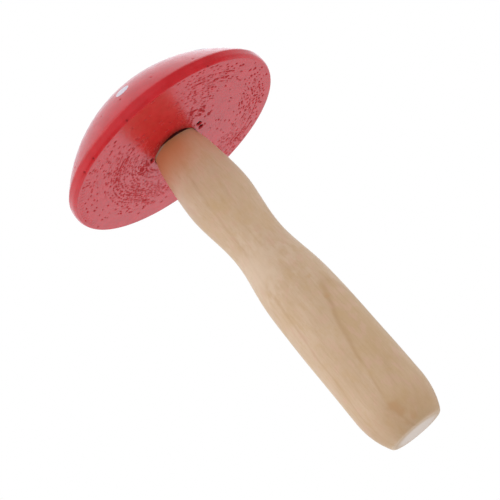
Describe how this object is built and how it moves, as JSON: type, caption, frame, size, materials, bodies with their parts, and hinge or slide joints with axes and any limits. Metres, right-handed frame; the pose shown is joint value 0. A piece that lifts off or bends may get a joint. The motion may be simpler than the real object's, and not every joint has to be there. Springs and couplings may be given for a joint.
{
  "type": "darning mushroom",
  "caption": "Darning mushroom: a low domed cap, lacquered red with white spots, on a turned bare-wood handle, held under a hole in knitwear while it is darned.",
  "frame": {"origin": "centre of the flat end of the handle, on which the mushroom stands", "axes": "+Z along the handle from its flat end to the top of the cap's dome, -Y towards the side of the cap that the picture shows"},
  "size_m": [0.07, 0.07, 0.1275],
  "materials": {
    "bare_wood": "sanded bare pale wood with a faint long grain, matt",
    "lacquered_wood": "red lacquer over turned wood, semi-gloss, with turning marks and open pores",
    "white_paint": "white paint dabbed on the lacquer, semi-gloss"
  },
  "bodies": {
    "handle": {"handle": "bare_wood"},
    "cap": {"cap": "lacquered_wood", "white_spot_1": "white_paint", "white_spot_2": "white_paint", "white_spot_3": "white_paint", "white_spot_4": "white_paint", "white_spot_5": "white_paint", "white_spot_6": "white_paint", "white_spot_7": "white_paint"}
  },
  "joints": [
    {"name": "cap_pull", "type": "slide", "parent": "handle", "child": "cap", "axis": [0, 0, 1], "range_m": [0, 0.025]}
  ]
}
